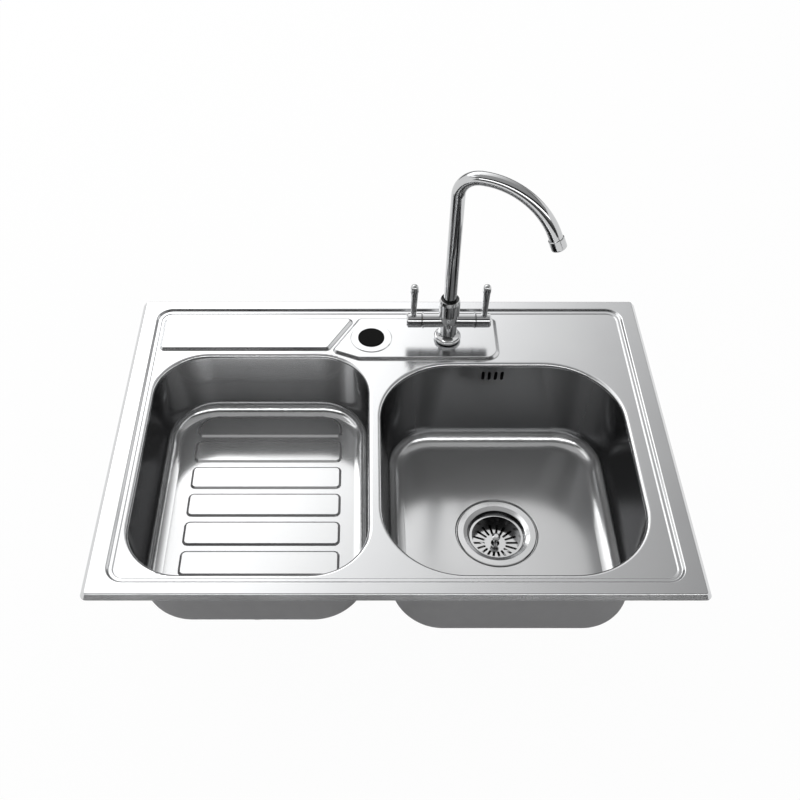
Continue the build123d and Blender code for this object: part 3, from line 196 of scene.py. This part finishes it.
def makeBowlSteel(name, steel, low, high):
    material, tree, shader = newMaterial(name)
    shader.inputs["Specular Tint"].default_value = (*steel["edge"], 1)
    slant = splitCoords(tree, "Normal")[1]
    coords, place = splitCoords(tree, "Object")
    endwise = addNode(tree, "ShaderNodeMath", operation="POWER")
    endwise.inputs[1].default_value = cornerFall
    tree.links.new(slant["Y"], endwise.inputs[0])
    rise = remap(tree, place["Z"], 0, 1, low[2], high[2])
    turn = remap(tree, slant["Z"], 0, 1, bendTurn["steep"], bendTurn["level"])
    # Painted shade: end walls go from the dark wall tone at the bottom to the lighter brim tone at the top,
    # side walls take the darker side tone, and the bends turn this into the bright floor tone
    zones = ("floor", "side", "wall", "brim")
    floor, side, wall, brim = [finishSockets(tree, steel[zone]) for zone in zones]
    ends = blendFinishes(tree, rise, wall, brim)
    walls = blendFinishes(tree, endwise.outputs["Value"], side, ends)
    sheet = blendFinishes(tree, turn, walls, floor)
    inward = addNode(tree, "ShaderNodeVectorMath", operation="SUBTRACT")
    inward.inputs[0].default_value = (Vector(low) + Vector(high)) / 2
    tree.links.new(coords.outputs["Object"], inward.inputs[1])
    geometry = addNode(tree, "ShaderNodeNewGeometry")
    facing = addNode(tree, "ShaderNodeVectorMath", operation="DOT_PRODUCT")
    tree.links.new(inward.outputs["Vector"], facing.inputs[0])
    tree.links.new(geometry.outputs["True Normal"], facing.inputs[1])
    inside = addNode(tree, "ShaderNodeMath", operation="GREATER_THAN")
    inside.inputs[1].default_value = 0
    tree.links.new(facing.outputs["Value"], inside.inputs[0])
    coat = finishSockets(tree, coatFinish)
    linkFinish(tree, shader, blendFinishes(tree, inside.outputs["Value"], coat, sheet))
    metallic = remap(tree, inside.outputs["Value"], 0, steel["metal"])
    tree.links.new(metallic, shader.inputs["Metallic"])
    addWave(tree, shader, sheetWave)
    return material


# Plain metals and plated parts
metalFinishes = {
    "waste_steel": {"dark": (0.66, 0.665, 0.67), "light": (0.72, 0.725, 0.73), "cloud": 30, "roughLow": 0.1,
                    "roughHigh": 0.17},
    "zinc_steel": {"dark": (0.46, 0.47, 0.49), "light": (0.60, 0.61, 0.62), "cloud": 90, "roughLow": 0.3,
                   "roughHigh": 0.45},
    "chrome": {"dark": (0.55, 0.555, 0.56), "light": (0.60, 0.605, 0.61), "cloud": 40, "roughLow": 0.07,
               "roughHigh": 0.11},
    "brass": {"dark": (0.62, 0.42, 0.16), "light": (0.74, 0.54, 0.25), "cloud": 70, "roughLow": 0.22,
              "roughHigh": 0.34},
    "dark_steel": {"dark": (0.04, 0.04, 0.045), "light": (0.08, 0.08, 0.085), "cloud": 120,
                   "roughLow": 0.35, "roughHigh": 0.5},
}
mouldedFinishes = {
    "ceramic": {"dark": (0.82, 0.82, 0.79), "light": (0.88, 0.88, 0.86), "cloud": 80, "roughLow": 0.15,
                "roughHigh": 0.22},
    "black_rubber": {"dark": (0.004, 0.004, 0.004), "light": (0.008, 0.008, 0.008), "cloud": 120,
                     "roughLow": 0.85, "roughHigh": 0.95, "specular": 0.15},
    "grey_foam": {"dark": (0.10, 0.10, 0.10), "light": (0.17, 0.17, 0.17), "cloud": 700, "roughLow": 0.9,
                  "roughHigh": 1.0},
    "white_plastic": {"dark": (0.74, 0.74, 0.72), "light": (0.80, 0.80, 0.79), "cloud": 50,
                      "roughLow": 0.35, "roughHigh": 0.45},
    "black_nylon": {"dark": (0.012, 0.012, 0.013), "light": (0.02, 0.02, 0.021), "cloud": 150,
                    "roughLow": 0.3, "roughHigh": 0.42},
}


def makeFinish(name, finish, metallic):
    material, tree, shader = newMaterial(name)
    shader.inputs["Metallic"].default_value = metallic
    if "specular" in finish:
        shader.inputs["Specular IOR Level"].default_value = finish["specular"]
    linkFinish(tree, shader, finishSockets(tree, finish))
    return material


finishes = {name: makeFinish(name, finish, 1) for name, finish in metalFinishes.items()}
finishes.update({name: makeFinish(name, finish, 0) for name, finish in mouldedFinishes.items()})
finishes["satin_steel"] = makeSteel("deckSteel", deckFinish, sheetWave)


# Waste: bright where it lies level, and painted shade down its steep insides
deepPaintedShade = {"dark": (0.05, 0.05, 0.052), "light": (0.08, 0.08, 0.082), "cloud": 30, "roughLow": 0.2,
              "roughHigh": 0.28}


def makeWasteSteel(name, finish, deepShade):
    material, tree, shader = newMaterial(name)
    shader.inputs["Metallic"].default_value = 1
    slant = splitCoords(tree, "Normal")[1]
    turn = remap(tree, slant["Z"], 0, 1, bendTurn["steep"], bendTurn["level"])
    sockets = finishSockets(tree, deepShade), finishSockets(tree, finish)
    linkFinish(tree, shader, blendFinishes(tree, turn, *sockets))
    return material


# Chrome hubs with a black band of painted shade where they meet the bridge, standing in for the shadow in
# the gap
gapShadeBand = {"width": 0.0011, "finish": mouldedFinishes["black_nylon"]}


def makeHubChrome(name, finish, edge, meetsAt):
    material, tree, shader = newMaterial(name)
    place = splitCoords(tree, "Object")[1]
    away = addNode(tree, "ShaderNodeMath", operation="SUBTRACT")
    away.inputs[1].default_value = meetsAt
    tree.links.new(place["X"], away.inputs[0])
    gap = addNode(tree, "ShaderNodeMath", operation="ABSOLUTE")
    tree.links.new(away.outputs["Value"], gap.inputs[0])
    plated = addNode(tree, "ShaderNodeMath", operation="GREATER_THAN")
    plated.inputs[1].default_value = edge["width"]
    tree.links.new(gap.outputs["Value"], plated.inputs[0])
    # painted shade band within the width of the meeting edge, chrome elsewhere
    sockets = finishSockets(tree, edge["finish"]), finishSockets(tree, finish)
    linkFinish(tree, shader, blendFinishes(tree, plated.outputs["Value"], *sockets))
    tree.links.new(plated.outputs["Value"], shader.inputs["Metallic"])
    return material


ownFinishes = {
    bowl: makeBowlSteel(bowl + "Steel", steel, *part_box(bowl)) for bowl, steel in bowlSteelsWithShade.items()
}
ownFinishes["overflow_housing"] = finishes["black_nylon"]
for name in ("waste_flange", "basket_cup"):
    ownFinishes[name] = makeWasteSteel(name + "Steel", metalFinishes["waste_steel"], deepPaintedShade)
tapMiddle = (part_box("tap_body")[0][0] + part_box("tap_body")[1][0]) / 2
for name in ("hot_hub", "cold_hub"):
    inner = min((corner[0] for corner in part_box(name)), key=lambda x: abs(x - tapMiddle))
    ownFinishes[name] = makeHubChrome(name + "Chrome", metalFinishes["chrome"], gapShadeBand, inner)
slotOf = {piece["node"]: piece["material_slot"] for piece in frame["record"]["subparts"]}
for name, node in frame["nodes"].items():
    for slot in node.material_slots:
        slot.material = ownFinishes.get(name, finishes[slotOf[name]])
print("finishes set")


# White studio: world and floor are white to the eye and in the metal, and dimmer as plain light
studio = {"white": 1.0, "fill": 0.5, "floorSize": 12.0, "floorTone": 0.86, "floorLift": 1.02,
          "floorCloud": 0.5, "floorDetail": 2, "floorRough": 1, "floorGlow": 0.97}


def seenRays(tree):
    path = addNode(tree, "ShaderNodeLightPath")
    seen = addNode(tree, "ShaderNodeMath", operation="MAXIMUM")
    tree.links.new(path.outputs["Is Camera Ray"], seen.inputs[0])
    tree.links.new(path.outputs["Is Glossy Ray"], seen.inputs[1])
    shown = addNode(tree, "ShaderNodeMath", operation="MAXIMUM")
    tree.links.new(seen.outputs["Value"], shown.inputs[0])
    tree.links.new(path.outputs["Is Transmission Ray"], shown.inputs[1])
    return shown.outputs["Value"]


def makeWorld(setup):
    world = bpy.data.worlds.new("studio")
    scene.world = world
    world.use_nodes = True
    tree = world.node_tree
    background = tree.nodes["Background"]
    background.inputs["Color"].default_value = (1, 1, 1, 1)
    strength = remap(tree, seenRays(tree), setup["fill"], setup["white"])
    tree.links.new(strength, background.inputs["Strength"])


def addStagePiece(name, place, paint):
    mesh = bpy.data.meshes.new(name)
    form = bmesh.new()
    bmesh.ops.create_grid(form, x_segments=1, y_segments=1, size=1, matrix=place)
    form.to_mesh(mesh)
    form.free()
    mesh.materials.append(paint)
    piece = bpy.data.objects.new(name, mesh)
    scene.collection.objects.link(piece)
    return piece


def makeFloorPaint(setup):
    paint, tree, shader = newMaterial("floorPaint")
    cloud = objectNoise(tree, setup["floorCloud"], setup["floorDetail"])
    dark, light = setup["floorTone"], setup["floorTone"] * setup["floorLift"]
    tree.links.new(mixColour(tree, cloud, (dark,) * 3, (light,) * 3), shader.inputs["Base Color"])
    shader.inputs["Roughness"].default_value = setup["floorRough"]
    glow = addNode(tree, "ShaderNodeEmission")
    mix = addNode(tree, "ShaderNodeMixShader")
    tree.links.new(remap(tree, seenRays(tree), 0, setup["floorGlow"]), mix.inputs["Fac"])
    tree.links.new(shader.outputs["BSDF"], mix.inputs[1])
    tree.links.new(glow.outputs["Emission"], mix.inputs[2])
    tree.links.new(mix.outputs["Shader"], tree.nodes["Material Output"].inputs["Surface"])
    return paint


makeWorld(studio)
floorPlace = Matrix.Translation((0, 0, cadBox[0][2])) @ Matrix.Scale(studio["floorSize"] / 2, 4)
addStagePiece("floor", floorPlace, makeFloorPaint(studio))
print("white studio set")

# Canopy of cards round the sink, out of the picture, which the metal mirrors: dark in front under a
# bright strip, grey overhead, and at the back a screen whose light falls off to the right.
# A card glows with exp(slope . place + lift), kept between low and high
canopy = {
    "frontScreen": {"x": (-4.0, 4.0), "y": (-3.0, -3.0), "z": (-0.2, 2.0), "slope": (0, 0, 1.6),
                    "lift": -3.4, "low": 0.05, "high": 0.4},
    "frontStrip": {"x": (-3.5, 3.5), "y": (-2.95, -2.95), "z": (1.6, 2.2), "slope": (0, 0, 0.1),
                   "lift": 1.2, "low": 1.0, "high": 4.0},
    "leftStrip": {"x": (-2.6, -1.8), "y": (-0.7, 0.5), "z": (1.97, 1.97), "slope": (0, 0.1, 0),
                  "lift": 0.5, "low": 1.0, "high": 3.0},
    "frontFlag": {"x": (-3.5, 3.5), "y": (-2.2, -1.05), "z": (2.0, 2.0), "slope": (0, 0.1, 0),
                  "lift": -3.6, "low": 0.015, "high": 0.03},
    "topFlag": {"x": (-3.5, 3.5), "y": (-1.05, 0.55), "z": (2.0, 2.0), "slope": (-0.1, 0.1, 0),
                "lift": -0.85, "low": 0.2, "high": 0.6},
    "backCurtain": {"x": (-4.0, 4.0), "y": (4.3, 4.3), "z": (-0.25, 1.9), "slope": (0, 0, 0.2),
                    "lift": -1.6, "low": 0.15, "high": 0.4},
    "backScreen": {"x": (-3.0, 3.0), "y": (0.55, 4.2), "z": (2.0, 2.0), "slope": (-0.78, 0.34, 0),
                   "lift": -0.22, "low": 0.2, "high": 1.8},
}


def makeCardPaint(name, setup):
    paint, tree = newMaterial(name)[:2]
    coords = addNode(tree, "ShaderNodeTexCoord")
    along = addNode(tree, "ShaderNodeVectorMath", operation="DOT_PRODUCT")
    along.inputs[1].default_value = setup["slope"]
    tree.links.new(coords.outputs["Object"], along.inputs[0])
    lifted = addNode(tree, "ShaderNodeMath", operation="ADD")
    lifted.inputs[1].default_value = setup["lift"]
    tree.links.new(along.outputs["Value"], lifted.inputs[0])
    level = addNode(tree, "ShaderNodeMath", operation="EXPONENT")
    tree.links.new(lifted.outputs["Value"], level.inputs[0])
    limited = addNode(tree, "ShaderNodeClamp")
    limited.inputs["Min"].default_value = setup["low"]
    limited.inputs["Max"].default_value = setup["high"]
    tree.links.new(level.outputs["Value"], limited.inputs["Value"])
    glow = addNode(tree, "ShaderNodeEmission")
    tree.links.new(limited.outputs["Result"], glow.inputs["Strength"])
    tree.links.new(glow.outputs["Emission"], tree.nodes["Material Output"].inputs["Surface"])
    return paint


def cardPlace(card):
    (left, right), (front, back), (low, high) = card["x"], card["y"], card["z"]
    middle = Matrix.Translation(((left + right) / 2, (front + back) / 2, (low + high) / 2))
    tilt = Matrix.Rotation(math.atan2(high - low, back - front), 4, "X")
    halves = (right - left) / 2, math.hypot(back - front, high - low) / 2
    return middle @ tilt @ Matrix.Diagonal((*halves, 1, 1))


for cardName, card in canopy.items():
    cardPiece = addStagePiece(cardName, cardPlace(card), makeCardPaint(cardName + "Paint", card))
    cardPiece.visible_camera = False
print("canopy hung")

# Soft lamp under the canopy, behind and left of the sink
lamps = {
    "softbox": {"size": (1.6, 1.2), "place": (-1.0, 1.7, 1.9), "aim": (-0.1, 0, 0), "watts": 8},
}


def aimed(place, target):
    way = Vector(place) - Vector(target)
    return Matrix.Translation(Vector(place)) @ way.to_track_quat("Z", "Y").to_matrix().to_4x4()


def addLamp(name, setup):
    data = bpy.data.lights.new(name, "AREA")
    data.shape = "RECTANGLE"
    data.size, data.size_y = setup["size"]
    data.energy = setup["watts"]
    lamp = bpy.data.objects.new(name, data)
    lamp.matrix_world = aimed(setup["place"], setup["aim"])
    scene.collection.objects.link(lamp)


for lampName, lampSetup in lamps.items():
    addLamp(lampName, lampSetup)
print("lamps lit")
